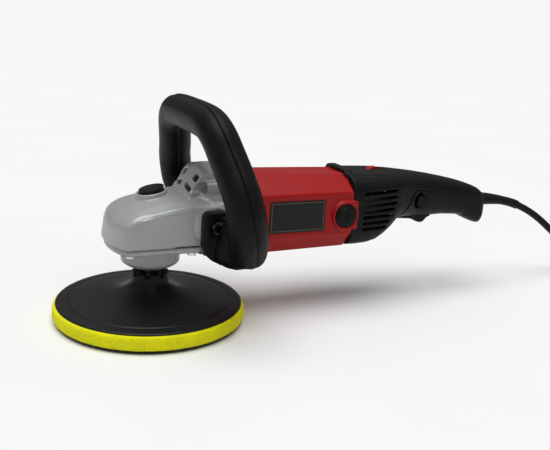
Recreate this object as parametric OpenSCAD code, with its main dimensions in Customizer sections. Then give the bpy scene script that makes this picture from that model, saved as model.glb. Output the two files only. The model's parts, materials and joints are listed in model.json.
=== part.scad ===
// Rotary polisher: loop handle, two-stage gearbox, universal motor, hook pad, lead.
// Millimetres. Origin at the pad's hook face on the spindle axis, +Z up the spindle,
// +X towards the rear handle.

/* [Pad] */
// Foam disc diameter
pad_d = 180; // [176:2:184]
// Foam thickness
foam_t = 13.5; // [12.5:0.5:14]
// Hook layer thickness
hook_t = 3; // [2.5:0.5:3.5]

/* [Gearbox] */
// Height of the armature axis above the hook face
motor_z = 101; // [101:0.5:102]
// Teeth of the armature pinion
pinion_teeth = 8; // [7:1:9]
// Teeth of the helical gear
gear_teeth = 19; // [18:1:20]
// Teeth of the bevel pinion
bevel_teeth = 9; // [8:1:10]
// Teeth of the bevel ring gear
ring_teeth = 33; // [31:1:34]

/* [Body] */
// Half width of the motor housing
motor_w = 38; // [37.5:0.5:39]
// Wall of the rear handle
shell_t = 3; // [2.6:0.2:3.2]

/* [Loop handle] */
// Radius of the grip tube at its feet
grip_r = 17; // [16.4:0.2:17.6]
// Forward lean of the loop in degrees
lean = 14.3; // [12:0.5:16]

/* [Lead] */
// Lead diameter
cord_d = 8; // [7:0.5:8]

/* [Output] */
// Sub-part to draw

/* [Hidden] */
$fn = 64;
gap = 0.05;

foam_z = hook_t;
plate_z = foam_z + foam_t;
pad_r = pad_d / 2;

// Gear train
gear_m = 0.9;
gear_drop = gear_m * (pinion_teeth + gear_teeth) / 2;
mid_z = motor_z - gear_drop;
ring_r = 29.3;
bevel_m = 2 * ring_r / ring_teeth;
bevel_r = bevel_m * bevel_teeth / 2;
top_bearing_r = 6;
lock_pin_x = -9;
ring_phase = 180 / ring_teeth;
stage_x = 42.5;
stage_w = 8;

// Housing stations along X
flange_x = 62;
joint_x = 194;
rim_t = 2.6;
floor_z = 79;
plate_drop = 6;
plate_end = 36;

// Motor
bore_r = 34.5;
core_x = 104;
core_l = 44;
core_r = 23.2;
comm_x = 174;
comm_r = 12;
comm_l = 16;
bridge_x = 190.8;
brush_x = 184;
rear_bearing_x = 195;

// Loop handle path: half width, height and forward bow in the leaning plane
arch_foot = [65.7, 0, 84.8];
arch_side = [[81.6, 0, 0], [92.6, 14, 1], [98.8, 27, 1.9], [99.6, 39, 1.5], [94.8, 54, 0.8],
    [84.8, 69, 0], [75, 83, 0], [67.2, 94.4, 0], [57.8, 102.2, 0], [45.2, 106.7, 0], [24, 108, 0]];
arch_top = [0, 108.2, 0];
arch_steps = 3;
grip_taper = 1.4;
bolt_x = 47.5;
bolt_z = 99;
lug_y = 44;
lug_t = 12;

// Rear handle sections: x, top, bottom, half width, squareness
rear_form = [
    [194, 137.4, 63.4, 38.2, 4.0],
    [206, 137.5, 63.0, 38.2, 3.8],
    [218, 137.4, 63.2, 38.0, 3.6],
    [228, 137.3, 65.0, 37.4, 3.4],
    [236, 137.2, 69.2, 36.4, 3.3],
    [244, 137.0, 74.8, 34.8, 3.1],
    [252, 136.6, 81.8, 32.4, 2.9],
    [260, 136.0, 85.2, 29.2, 2.7],
    [269, 135.0, 85.6, 26.2, 2.6],
    [279, 133.8, 85.2, 23.4, 2.5],
    [290, 132.2, 84.8, 21.2, 2.5],
    [305, 129.7, 84.4, 19.4, 2.5],
    [322, 126.3, 84.8, 18.2, 2.5],
    [338, 122.7, 83.8, 18.0, 2.6],
    [347, 120.3, 83.0, 18.0, 2.7],
    [353, 118.5, 79.6, 18.0, 2.8],
    [360, 116.2, 76.4, 17.8, 3.0],
    [367, 113.2, 73.6, 17.2, 3.2],
    [371, 110.4, 72.6, 16.0, 3.3],
    [373.8, 107.2, 75.4, 14.0, 3.3],
    [375.6, 103.0, 81.0, 11.0, 3.2]];

// Controls
dial_x = 235.5;
dial_r = 10.5;
dial_z = 128.8;
dial_w = 8;
lever_x = 264;
lever_z = 93;
lock_x = 284.5;
lock_z = 104.5;
lock_r = 5.8;
cap_r = 11.4;

// Lead route: hand-chosen points from the tail to the coil and from the coil to the plug
cord_run = [[372, 0, 98.6], [384, 0, 98], [397, 0, 96.8], [410, 0, 94.8], [422, 0, 92],
    [433, 0, 88.4], [447, 0, 82.4], [463, 0, 73.8], [480, 0, 62.4], [497, 0, 49.6],
    [514, 0, 36], [531, 0, 22.8], [548, 0, 12.4], [565, 0, 6.1], [581, 0, 4.3], [596, 0, 4.1]];
guard_rings = 5;
coil_c = [596, -56];
coil_r = 48;
coil_cols = 3;
coil_rows = 2;
cord_tail = [[596, -112, 12.1], [588, -112, 12.2], [578, -112.2, 12.4], [568, -112.6, 12.6],
    [558, -113.4, 12.7], [548, -114.3, 12.7]];
plug_at = [548, -114.3, 12.7];
pin_gap = 19;
pin_r = 2.4;
pin_l = 19;

pad_hook_layer();
pad_foam();
pad_plate();
pad_insert();
spindle();
bevel_ring_gear();
spindle_bearing();
spindle_top_bearing();
bearing_box();
bearing_box_screws();
gear_housing();
gear_housing_screws();
gear_plate();
spindle_lock_button();
spindle_lock_spring();
intermediate_shaft();
helical_gear();
bevel_pinion();
intermediate_bearings();
armature_shaft();
armature_pinion();
armature_core();
armature_windings();
commutator();
fan();
armature_bearings();
fan_baffle();
stator_core();
field_coils();
motor_housing();
brush_holders();
carbon_brushes();
brush_springs();
brush_caps();
nameplates();
loop_handle_front();
loop_handle_rear();
loop_handle_bolts();
loop_handle_screws();
rear_handle_left();
rear_handle_right();
rear_handle_screws();
trigger();
trigger_pin();
lock_button();
speed_dial();
speed_controller();
switch_body();
switch_leads();
cord_clamp();
cord_clamp_screws();
cord_guard();
power_cord();
cord_coil();
coil_tie();
plug_body();
plug_pins();

// ---------- shared helpers ----------

// Catmull-Rom point between p1 and p2
function blend(p0, p1, p2, p3, t) = 0.5 * (2 * p1 + (p2 - p0) * t
    + (2 * p0 - 5 * p1 + 4 * p2 - p3) * t * t + (3 * p1 - p0 - 3 * p2 + p3) * t * t * t);

function smooth(pts, k) = [for (i = [0 : len(pts) - 2], j = [0 : k - 1])
    blend(pts[max(i - 1, 0)], pts[i], pts[i + 1], pts[min(i + 2, len(pts) - 1)], j / k),
    pts[len(pts) - 1]];

function unit(v) = v / norm(v);

function heading(line, i) = unit(line[min(i + 1, len(line) - 1)] - line[max(i - 1, 0)]);

// Closed solid from rings of points, each ring turning right-handed about the way forward
// (strips = true closes the last ring by strips between its mirrored points)
module skin(rings, strips = false) {
    m = len(rings[0]);
    n = len(rings);
    last = (n - 1) * m;
    points = [for (r = rings, p = r) p];
    sides = [for (i = [0 : n - 2], j = [0 : m - 1])
        let (a = i * m + j, b = i * m + (j + 1) % m, c = a + m, d = b + m)
        each [[a, d, b], [a, c, d]]];
    low = [[for (j = [0 : m - 1]) j]];
    high = strips ? [for (j = [0 : floor(m / 2) - 1])
            let (a = last + j, b = a + 1, c = last + m - 1 - j, d = c - 1)
            each (b == d ? [[a, c, b]] : b > d ? [] : [[a, c, d], [a, d, b]])]
        : [[for (j = [m - 1 : -1 : 0]) last + j]];
    polyhedron(points, concat(sides, low, high));
}

// Round tube along a line, side = a direction the line never follows
module tube(line, radii, side, count) {
    skin([for (i = [0 : len(line) - 1])
        let (t = heading(line, i), u = unit(cross(side, t)), v = cross(t, u))
        [for (j = [0 : count - 1]) line[i] + radii[i] * (cos(360 * j / count) * u
            + sin(360 * j / count) * v)]]);
}

module ring(r1, r2, z1, z2) {
    translate([0, 0, z1])
        difference() {
            cylinder(r = r2, h = z2 - z1);
            translate([0, 0, -1])
                cylinder(r = r1, h = z2 - z1 + 2);
        }
}

// Cylinder along +X from x1 to x2 at height z
module rod_x(r, x1, x2, z = motor_z, y = 0) {
    translate([x1, y, z])
        rotate([0, 90, 0])
            cylinder(r = r, h = x2 - x1);
}

module ring_x(r1, r2, x1, x2, z = motor_z) {
    difference() {
        rod_x(r2, x1, x2, z);
        rod_x(r1, x1 - 1, x2 + 1, z);
    }
}

// Cylinder along Y from y1 to y2
module rod_y(r, y1, y2, x, z) {
    translate([x, y1, z])
        rotate([-90, 0, 0])
            cylinder(r = r, h = y2 - y1);
}

module block(low, high) {
    translate(low)
        cube(high - low);
}

// Ball bearing: two races and the balls' shield as one closed body
module bearing(ri, ro, w) {
    difference() {
        cylinder(r = ro, h = w);
        translate([0, 0, -1])
            cylinder(r = ri, h = w + 2);
        for (z = [-1, w - 0.4])
            translate([0, 0, z])
                difference() {
                    cylinder(r = ro * 0.86, h = 1.4);
                    translate([0, 0, -1])
                        cylinder(r = ri + (ro - ri) * 0.28, h = 4);
                }
    }
}

// Spur tooth outline: straight-flanked teeth with backlash
module gear_outline(teeth, m, phase) {
    r0 = m * teeth / 2 - 1.2 * m;
    r1 = m * teeth / 2 + 0.85 * m;
    wide = 360 / teeth * 0.29;
    thin = 360 / teeth * 0.12;
    polygon([for (k = [0 : teeth - 1])
        let (a = 360 * k / teeth + phase)
        each [r0 * [cos(a - wide), sin(a - wide)], r1 * [cos(a - thin), sin(a - thin)],
            r1 * [cos(a + thin), sin(a + thin)], r0 * [cos(a + wide), sin(a + wide)]]]);
}

// ---------- pad ----------

module pad_hook_layer() {
    color([0.06, 0.06, 0.06])
        rotate_extrude($fn = 120)
            polygon([[0, 0], [86.6, 0], [87.4, 0.8], [87.4, hook_t], [0, hook_t]]);
}

module pad_foam() {
    color([0.85, 0.85, 0.05])
        rotate_extrude($fn = 120)
            translate([0, foam_z])
                polygon([[0, 0], [87.8, 0], [89.3, 0.9], [pad_r, 2.6], [pad_r, foam_t - 4.5],
                    [89.4, foam_t - 1.8], [88.2, foam_t], [0, foam_t]]);
}

module pad_plate() {
    color([0.05, 0.05, 0.05])
        difference() {
            rotate_extrude($fn = 120)
                polygon([[0, plate_z], [86.8, plate_z], [87.3, plate_z + 0.8],
                    [86.6, plate_z + 1.9], [77.6, plate_z + 2.5], [77.2, plate_z + 1.9],
                    [76, plate_z + 1.9], [75.6, plate_z + 3], [60, 21.4], [46, 23.4],
                    [35, 25.8], [27.5, 28.6], [22.3, 32], [19.2, 35.8], [17.8, 39.6],
                    [17.5, 45.8], [13.4, 48.8], [0, 48.8]]);
            insert_form(gap);
            for (a = [22.5 : 45 : 359])
                rotate([0, 0, a])
                    block([14.4, -2, 43.5], [20, 2, 50]);
        }
}

module insert_form(grow) {
    translate([0, 0, 22])
        cylinder(r = 19 + grow, h = 3);
    translate([0, 0, 25])
        cylinder(r = 12.4 + grow, h = 24, $fn = 6);
}

module pad_insert() {
    color([0.7, 0.7, 0.72])
        difference() {
            intersection() {
                insert_form(0);
                translate([0, 0, 20])
                    cylinder(r = 20, h = 28.8);
            }
            translate([0, 0, 24])
                cylinder(r = 7 + gap, h = 30);
        }
}

// ---------- spindle ----------

module spindle() {
    color([0.6, 0.6, 0.62])
        difference() {
            union() {
                translate([0, 0, 25])
                    cylinder(r = 7, h = 24);
                translate([0, 0, 48.8])
                    cylinder(r = 9.5, h = 8.8);
                translate([0, 0, 57.6])
                    cylinder(r = 7.5, h = 14.9);
                translate([0, 0, 72.5])
                    cylinder(r = 6.5, h = 7.3);
                translate([0, 0, 79.8])
                    cylinder(r = 4, h = 31.6);
            }
            for (s = [-1, 1])
                block([min(s * 8.2, s * 12), -12, 49.6], [max(s * 8.2, s * 12), 12, 53.6]);
        }
}

module bevel_ring_gear() {
    back_z = 76;
    web_z = 79.6;
    color([0.45, 0.45, 0.47])
        difference() {
            union() {
                translate([0, 0, back_z])
                    cylinder(r = ring_r + 1.6, h = web_z - back_z);
                translate([0, 0, 72.5])
                    cylinder(r = 12, h = 4);
                for (k = [0 : ring_teeth - 1])
                    rotate([0, 0, 360 * k / ring_teeth + ring_phase])
                        ring_tooth();
            }
            translate([0, 0, 70])
                cylinder(r = 6.5, h = 20);
            // track of the spindle lock's pin
            translate([0, 0, web_z - 2.4])
                cylinder(r = 11.8, h = 5);
        }
}

// One tooth, tapering towards the cone's apex at the pinion axis
module ring_tooth() {
    heel = ring_r;
    toe = 20.6;
    tall = 0.75 * bevel_m;
    half = 0.20 * bevel_m;
    root = 0.44 * bevel_m;
    base = 79.2;
    skin([for (r = [toe, heel])
        let (s = r / heel, z = mid_z - bevel_r * s)
        [[r, -root * s, base], [r, root * s, base], [r, root * s, z - 0.9 * bevel_m * s],
            [r, half * s, z + tall * s], [r, -half * s, z + tall * s],
            [r, -root * s, z - 0.9 * bevel_m * s]]]);
}

module spindle_bearing() {
    color([0.75, 0.75, 0.77])
        translate([0, 0, 61])
            bearing(7.5 + gap, 17.5, 11);
}

module spindle_top_bearing() {
    color([0.75, 0.75, 0.77])
        translate([0, 0, 101])
            bearing(4 + gap, top_bearing_r, 10);
}

// ---------- housings ----------

// Height of the nose's shoulder line along X
shoulder = [[-46, 98], [-34, 103.5], [-20, 109], [6, 114.6], [28, 117.2], [62, 119]];

// Crown of the nose: inset from the plan outline, rise above the shoulder line, forward swell
crown = [[0.6, -10, 1.2], [1.4, -5.2, 1.2], [2.8, -2.2, 1], [5.2, 0, 0.3], [13, 2.8, 0],
    [24, 5, 0], [34, 6, 0], [41, 6.2, 0]];
crown_front = -30;
crown_side = -8;
side_sharp = 0.35;

// Plan outline of the gearbox nose, drawn inside by d, its front swollen by f
function nose_plan(d, f) =
    let (front = 88 - d + f, side = 42 - d, corner = min(11, side - 0.6), rear = flange_x - 4,
        edge = asin((side - corner) / (front - corner)), k = 5,
        corner_x = 46 - (front - corner) * cos(edge))
    concat(
        [for (i = [0 : k]) [rear + (corner_x - rear) * i / k, side]],
        [for (i = [k - 1 : -1 : 0]) let (b = edge + (90 - edge) * i / k)
            [corner_x - corner * cos(b), side - corner + corner * sin(b)]],
        [for (i = [1 : 2 * k - 1]) let (a = edge * (1 - i / k))
            [46 - front * cos(a), front * sin(a)]],
        [for (i = [0 : k - 1]) let (b = edge + (90 - edge) * i / k)
            [corner_x - corner * cos(b), corner - side - corner * sin(b)]],
        [for (i = [k : -1 : 0]) [rear + (corner_x - rear) * i / k, -side]]);

module bearing_box() {
    color([0.62, 0.63, 0.63])
        difference() {
            union() {
                intersection() {
                    translate([0, 0, floor_z - plate_drop])
                        linear_extrude(plate_drop)
                            polygon(nose_plan(1, 1));
                    block([-60, -60, 60], [plate_end, 60, 90]);
                }
                translate([0, 0, 57.4])
                    cylinder(r = 27.5, h = 16);
                translate([0, 0, 53.8])
                    cylinder(r1 = 22.5, r2 = 27.5, h = 3.6);
            }
            rod_x(14.3, 30.5, 40, mid_z);
            translate([0, 0, 75.4])
                cylinder(r = ring_r + 4.2, h = 10);
            translate([0, 0, 72])
                cylinder(r = 13.5, h = 10);
            translate([0, 0, 61])
                cylinder(r = 17.5, h = 12);
            translate([0, 0, 50])
                cylinder(r = 10.4, h = 20);
            for (p = box_screws)
                translate([p[0], p[1], 70])
                    cylinder(r = 2.2, h = 12, $fn = 24);
        }
}

box_screws = [[-26.5, -30], [-26.5, 30], [29, -35.5], [29, 35.5]];

module bearing_box_screws() {
    color([0.75, 0.76, 0.77])
        for (p = box_screws)
            translate([p[0], p[1], 0])
                difference() {
                    union() {
                        translate([0, 0, 70.2])
                            cylinder(r = 4, h = 2.8, $fn = 32);
                        translate([0, 0, 72.9])
                            cylinder(r = 2.1, h = 17, $fn = 24);
                    }
                    translate([0, 0, 69])
                        cylinder(r = 2, h = 2.6, $fn = 6);
                }
}

// Nose block: plan outlines stacked up to the crown, closed by strips across the top
module nose_block() {
    base = [for (p = nose_plan(0, 2.2)) [p[0], p[1], floor_z]];
    rings = concat([base], [for (c = crown) [for (p = nose_plan(c[0], c[2]))
        [p[0], p[1], lookup(p[0], shoulder) + c[1] * (c[1] > 0 ? 1
            : lookup(p[0], [[crown_front, 1], [crown_side, side_sharp]]))]]]);
    skin(rings, true);
}

// Vented shroud that rises from the nose to the motor flange, its roof sloping to both sides
roof_side = 25.2;
roof_slope = 10.3;
roof_form = [[22, 112], [29.4, 127.4], [35.8, 137.4], [39.4, 142.4], [42, 144.8], [46, 146.4],
    [70, 147.2], [70, 90], [22, 90]];

module roof(s, d) {
    rotate([s * roof_slope, 0, 0])
        translate([0.8 * d, 60, -d])
            rotate([90, 0, 0])
                linear_extrude(120)
                    polygon(roof_form);
}

module shroud(d) {
    intersection() {
        roof(-1, d);
        roof(1, d);
        block([10, -roof_side + d, 90], [flange_x, roof_side - d, 160]);
    }
}

// Rear flange body between nose and motor, wide enough for the motor screws
module flange_body() {
    hull() {
        rod_x(41, 46, flange_x, motor_z);
        rod_x(30, 34, 35, motor_z - 1);
    }
    rod_x(42.4, 56, flange_x, motor_z);
    for (s = [-1, 1])
        rod_y(17, min(s * 30, s * lug_y), max(s * 30, s * lug_y), bolt_x, bolt_z);
}

motor_screws = [[-27.6, 29], [27.6, 29], [-27.6, -29], [27.6, -29]];
screw_seat = 51.8;
screw_end = flange_x + 14;

// Two rows of vents: centre, size along the slope, width
shroud_vents = [[31, 12.7, 127.6, 4.7, 17], [37.4, 16, 137.1, 6.2, 11.4]];
shroud_pitch = 57;

module shroud_slots() {
    for (s = [-1, 1], v = shroud_vents)
        translate([v[0], s * v[1], v[2]])
            rotate([-s * roof_slope, 0, 0])
                rotate([0, -shroud_pitch, 0])
                    cube([v[3], v[4], 12], center = true);
}

module gear_housing() {
    color([0.66, 0.67, 0.67])
        difference() {
            union() {
                nose_block();
                shroud(0);
                flange_body();
                intersection() {
                    ring(11.7, 14.6, 112, 132);
                    rotate([0, -9.2, 0])
                        block([-30, -30, 100], [40, 30, 121.6]);
                }
                rod_x(4.2, 45, 54, 145.4);
                for (p = motor_screws)
                    rod_x(6.6, 42, flange_x, motor_z + p[1], p[0]);
            }
            // ring gear chamber, open below
            translate([0, 0, floor_z - 1])
                cylinder(r = ring_r + 4.2, h = 18);
            // bevel pinion and its bearing
            rod_x(11.5, 0, 31, mid_z);
            rod_x(14 + gap, 30.5, 39, mid_z);
            // helical stage
            hull() {
                rod_x(14, 39, 53, mid_z);
                rod_x(10, 39, 53, motor_z + 2);
            }
            rod_x(36, 52, flange_x + 1);
            // spindle's top bearing and the spindle lock
            translate([0, 0, 95])
                cylinder(r = top_bearing_r + gap, h = 17);
            translate([0, 0, 114.5])
                cylinder(r = 11.6, h = 20);
            translate([lock_pin_x, 0, 90])
                cylinder(r = 2.4 + gap, h = 27);
            // air path from the fan chamber out of the shroud
            intersection() {
                shroud(3);
                block([20, -19, 122.5], [flange_x + 1, 19, 150]);
            }
            hull() {
                block([53, -22, 118], [flange_x + 1, 22, 126]);
                block([40, -18, 124], [flange_x + 1, 18, 126]);
            }
            shroud_slots();
            // seat of the bearing box, its parting slot, and the motor's face
            block([-60, -60, 40], [plate_end, 60, floor_z]);
            block([11, -50, floor_z - 0.2], [plate_end, -38, floor_z + 1]);
            block([flange_x, -60, 40], [80, 60, 160]);
            for (p = box_screws)
                translate([p[0], p[1], 70])
                    cylinder(r = 2.1, h = 20, $fn = 24);
            for (p = motor_screws)
                union() {
                    rod_x(2.3, 40, flange_x + 1, motor_z + p[1], p[0]);
                    rod_x(5.4, 26, screw_seat, motor_z + p[1], p[0]);
                }
            for (s = [-1, 1])
                rod_y(4, min(s * 34, s * 46), max(s * 34, s * 46), bolt_x, bolt_z);
        }
}

module gear_housing_screws() {
    color([0.78, 0.79, 0.8])
        for (p = motor_screws)
            difference() {
                union() {
                    rod_x(2.2, screw_seat, screw_end, motor_z + p[1], p[0]);
                    rod_x(4.6, screw_seat - 3.4, screw_seat, motor_z + p[1], p[0]);
                }
                translate([screw_seat - 4, p[0] - 4, motor_z + p[1] - 0.6])
                    cube([1.6, 8, 1.2]);
            }
}

module gear_plate() {
    color([0.6, 0.61, 0.61])
        difference() {
            union() {
                rod_x(36 - gap, 53, 58);
                rod_x(15, 58, 65);
            }
            rod_x(6.5, 50, 57, mid_z);
            rod_x(4.6, 50, 60);
            rod_x(11, 58, 66);
            for (a = [20 : 28 : 160])
                translate([50, 28.5 * cos(a), motor_z + 28.5 * sin(a)])
                    rotate([0, 90, 0])
                        cylinder(r = 5, h = 10, $fn = 32);
        }
}

// ---------- spindle lock ----------

module spindle_lock_button() {
    color([0.05, 0.05, 0.05])
        union() {
            intersection() {
                translate([0, 0, 120])
                    cylinder(r = 11.5, h = 20);
                translate([9, 0, 86.9])
                    sphere(r = 42);
            }
            translate([lock_pin_x, 0, 82.6])
                cylinder(r = 2.4, h = 38);
        }
}

module spindle_lock_spring() {
    color([0.7, 0.7, 0.7])
        for (k = [0 : 2])
            translate([2, 0, 114.5 + 0.55 + k * 1.95])
                rotate_extrude($fn = 48)
                    translate([6.2, 0])
                        circle(r = 0.55, $fn = 13);
}

// ---------- gears and shafts ----------

module intermediate_shaft() {
    color([0.6, 0.6, 0.62])
        union() {
            rod_x(6, 31, 42, mid_z);
            rod_x(5, 42, 51, mid_z);
            rod_x(3.5, 51, 56.6, mid_z);
            rod_x(3, 24, 31, mid_z);
        }
}

module helical_gear() {
    color([0.5, 0.5, 0.52])
        translate([stage_x, 0, mid_z])
            rotate([90, 0, 90])
                difference() {
                    linear_extrude(stage_w)
                        gear_outline(gear_teeth, gear_m, 90);
                    translate([0, 0, -1])
                        cylinder(r = 5, h = stage_w + 2);
                }
}

module bevel_pinion() {
    heel = ring_r;
    toe = 20.6;
    spare = 0.5;
    slope = (bevel_r - 1.15 * bevel_m) / heel;
    color([0.5, 0.5, 0.52])
        difference() {
            union() {
                translate([toe - spare, 0, mid_z])
                    rotate([0, 90, 0])
                        cylinder(r1 = slope * (toe - spare), r2 = slope * (heel + spare),
                            h = heel - toe + 2 * spare);
                for (k = [0 : bevel_teeth - 1])
                    translate([0, 0, mid_z])
                        rotate([360 * k / bevel_teeth, 0, 0])
                            pinion_tooth(toe, heel);
                rod_x(slope * heel - 0.2, heel, 30.6, mid_z);
            }
            rod_x(3, 19, 40, mid_z);
        }
}

module pinion_tooth(toe, heel) {
    tall = 0.75 * bevel_m;
    half = 0.20 * bevel_m;
    root = 0.44 * bevel_m;
    foot = 1.6 * bevel_m;
    skin([for (x = [toe, heel])
        let (s = x / heel, z = -bevel_r * s)
        [[x, root * s, z + foot * s], [x, -root * s, z + foot * s],
            [x, -root * s, z + 0.9 * bevel_m * s], [x, -half * s, z - tall * s],
            [x, half * s, z - tall * s], [x, root * s, z + 0.9 * bevel_m * s]]]);
}

module intermediate_bearings() {
    color([0.75, 0.75, 0.77])
        union() {
            translate([31, 0, mid_z])
                rotate([0, 90, 0])
                    bearing(6 + gap, 14, 8);
            translate([52, 0, mid_z])
                rotate([0, 90, 0])
                    bearing(3.5 + gap, 6.5, 5);
        }
}

module armature_shaft() {
    color([0.62, 0.62, 0.64])
        union() {
            rod_x(2, 42, 52);
            rod_x(4, 51, 102);
            rod_x(5, 102, comm_x + comm_l);
            rod_x(3.5, comm_x + comm_l, 201.4);
        }
}

module armature_pinion() {
    color([0.5, 0.5, 0.52])
        translate([stage_x, 0, motor_z])
            rotate([90, 0, 90])
                difference() {
                    linear_extrude(stage_w)
                        gear_outline(pinion_teeth, gear_m, -90 + 180 / pinion_teeth);
                    translate([0, 0, -1])
                        cylinder(r = 2, h = stage_w + 2);
                }
}

module armature_core() {
    slots = 12;
    color([0.4, 0.4, 0.42])
        difference() {
            rod_x(core_r, core_x, core_x + core_l);
            rod_x(5, core_x - 1, core_x + core_l + 1);
            for (k = [0 : slots - 1])
                translate([core_x - 1, 0, motor_z])
                    rotate([360 * k / slots, 0, 0])
                        block([0, -1.6, 13], [core_l + 2, 1.6, core_r + 1]);
        }
}

module armature_windings() {
    slots = 12;
    color([0.7, 0.35, 0.15])
        union() {
            ring_x(5, 20, core_x - 11, core_x);
            ring_x(5, 20, core_x + core_l, core_x + core_l + 12);
            for (k = [0 : slots - 1])
                translate([core_x, 0, motor_z])
                    rotate([360 * k / slots, 0, 0])
                        block([-0.5, -1.5, 13.1], [core_l + 0.5, 1.5, 21]);
        }
}

module commutator() {
    bars = 24;
    color([0.72, 0.42, 0.2])
        difference() {
            union() {
                rod_x(comm_r, comm_x, comm_x + comm_l);
                rod_x(comm_r + 2.2, comm_x - 3, comm_x);
            }
            rod_x(5, comm_x - 4, comm_x + comm_l + 1);
            for (k = [0 : bars - 1])
                translate([comm_x - 4, 0, motor_z])
                    rotate([360 * k / bars, 0, 0])
                        block([0, -0.25, comm_r - 0.8], [comm_l + 6, 0.25, comm_r + 4]);
        }
}

module fan() {
    blades = 11;
    color([0.85, 0.85, 0.8])
        difference() {
            union() {
                rod_x(31, 82, 84);
                rod_x(9, 70, 84);
                for (k = [0 : blades - 1])
                    translate([0, 0, motor_z])
                        rotate([360 * k / blades, 0, 0])
                            translate([71, 0, 20])
                                block([0, -1, -8], [11.5, 1, 10.6]);
            }
            rod_x(4, 60, 90);
        }
}

module armature_bearings() {
    color([0.75, 0.75, 0.77])
        union() {
            translate([58, 0, motor_z])
                rotate([0, 90, 0])
                    bearing(4 + gap, 11, 7);
            translate([rear_bearing_x, 0, motor_z])
                rotate([0, 90, 0])
                    bearing(3.5 + gap, 9.5, 6);
        }
}

module fan_baffle() {
    color([0.1, 0.1, 0.1])
        union() {
            ring_x(25, bore_r, 86, 88.5);
            ring_x(32.5, bore_r, 88.5, 96);
        }
}

module stator_core() {
    yoke_r = 30;
    shoe_r = 26.4;
    color([0.42, 0.42, 0.44])
        difference() {
            union() {
                ring_x(yoke_r, bore_r, core_x - 1, core_x + core_l + 1);
                for (s = [-1, 1]) {
                    intersection() {
                        ring_x(core_r + 0.6, shoe_r, core_x - 1, core_x + core_l + 1);
                        block([core_x - 2, min(0, s * 40), motor_z - 20], [core_x + core_l + 2,
                            max(0, s * 40), motor_z + 20]);
                    }
                    block([core_x - 1, min(s * 25, s * 32), motor_z - 10.4], [core_x + core_l + 1,
                        max(s * 25, s * 32), motor_z + 10.4]);
                }
            }
            rod_x(core_r + 0.6, core_x - 2, core_x + core_l + 2);
        }
}

module field_coils() {
    color([0.68, 0.34, 0.16])
        for (s = [-1, 1])
            intersection() {
                difference() {
                    ring_x(26.6, 29.8, core_x - 7, core_x + core_l + 7);
                    block([core_x - 1.2, min(0, s * 40), motor_z - 10.6], [core_x + core_l + 1.2,
                        max(0, s * 40), motor_z + 10.6]);
                }
                block([core_x - 10, min(0, s * 40), motor_z - 18.5], [core_x + core_l + 10,
                    max(0, s * 40), motor_z + 18.5]);
            }
}

// ---------- motor housing ----------

function octagon(w, top, low) = [[w, 20.6], [0.44 * w, top], [-0.44 * w, top], [-w, 20.6],
    [-w, -0.54 * low], [-0.6 * w, -low], [0.6 * w, -low], [w, -0.54 * low]];

module motor_form() {
    hull() {
        for (s = [[flange_x, 38.6, 39.8], [joint_x - 0.1, 35.6, 37.8]])
            translate([s[0], 0, motor_z + 0.4])
                rotate([90, 0, 90])
                    linear_extrude(0.1)
                        polygon(octagon(motor_w, s[1], s[2]));
    }
}

module motor_housing() {
    color([0.66, 0.1, 0.11])
        difference() {
            union() {
                motor_form();
                for (s = [-1, 1]) {
                    brush_boss(s);
                    block([brush_x, min(s * 36, s * 42), motor_z - 16], [joint_x, max(s * 36, s * 42),
                        motor_z + 13]);
                    block([joint_x - 1, min(s * 38.5, s * 42), motor_z - 16], [joint_x + 3.5,
                        max(s * 38.5, s * 42), motor_z + 13]);
                }
                for (p = motor_screws)
                    rod_x(6.6, flange_x, flange_x + 15, motor_z + p[1], p[0]);
                // bearing bridge behind the commutator
                rod_x(12.5, bridge_x, rear_bearing_x + 5.6);
                intersection() {
                    rod_x(bore_r + 0.4, bridge_x, joint_x);
                    bridge_arms(joint_x);
                }
            }
            difference() {
                rod_x(bore_r, flange_x - 1, joint_x + 1);
                rod_x(12.5, bridge_x, joint_x + 2);
                bridge_arms(joint_x + 2);
            }
            rod_x(9.5, rear_bearing_x, joint_x + 20);
            rod_x(6, 150, joint_x + 20);
            for (s = [-1, 1]) {
                rod_y(cap_r, min(s * 38.4, s * 50), max(s * 38.4, s * 50), brush_x, motor_z - 1.5);
                block([brush_x - 5, min(s * 20, s * 39), motor_z - 6.5], [brush_x + 5,
                    max(s * 20, s * 39), motor_z + 3.5]);
                translate([0, s * (motor_w + 9.6), 0])
                    block([103.4, -10, 84.8], [163, 10, 116.6]);
            }
            for (p = motor_screws)
                rod_x(2.2, flange_x - 1, screw_end, motor_z + p[1], p[0]);
        }
}

// Boss round a brush cap, cut back where the rear shells begin
module brush_boss(s) {
    difference() {
        rod_y(14.6, min(s * 30, s * 42), max(s * 30, s * 42), brush_x, motor_z - 1.5);
        block([joint_x - 0.2, min(s * 20, s * 38.5), 60], [joint_x + 10, max(s * 20, s * 38.5), 140]);
    }
}

module bridge_arms(to) {
    block([bridge_x, -5, 60], [to, 5, 142]);
    block([bridge_x, -40, motor_z - 5], [to, 40, motor_z + 5]);
}

module brush_holders() {
    color([0.75, 0.6, 0.25])
        for (s = [-1, 1])
            difference() {
                block([brush_x - 5, min(s * 14, s * 38.4), motor_z - 6.5],
                    [brush_x + 5, max(s * 14, s * 38.4), motor_z + 3.5]);
                block([brush_x - 4, min(s * 10, s * 37.6), motor_z - 5.5],
                    [brush_x + 4, max(s * 10, s * 37.6), motor_z + 2.5]);
            }
}

module carbon_brushes() {
    color([0.12, 0.12, 0.12])
        for (s = [-1, 1])
            difference() {
                block([brush_x - 4, min(s * 11.5, s * 27), motor_z - 5.5],
                    [brush_x + 4, max(s * 11.5, s * 27), motor_z + 2.5]);
                rod_x(comm_r + gap, brush_x - 10, brush_x + 10);
            }
}

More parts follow.
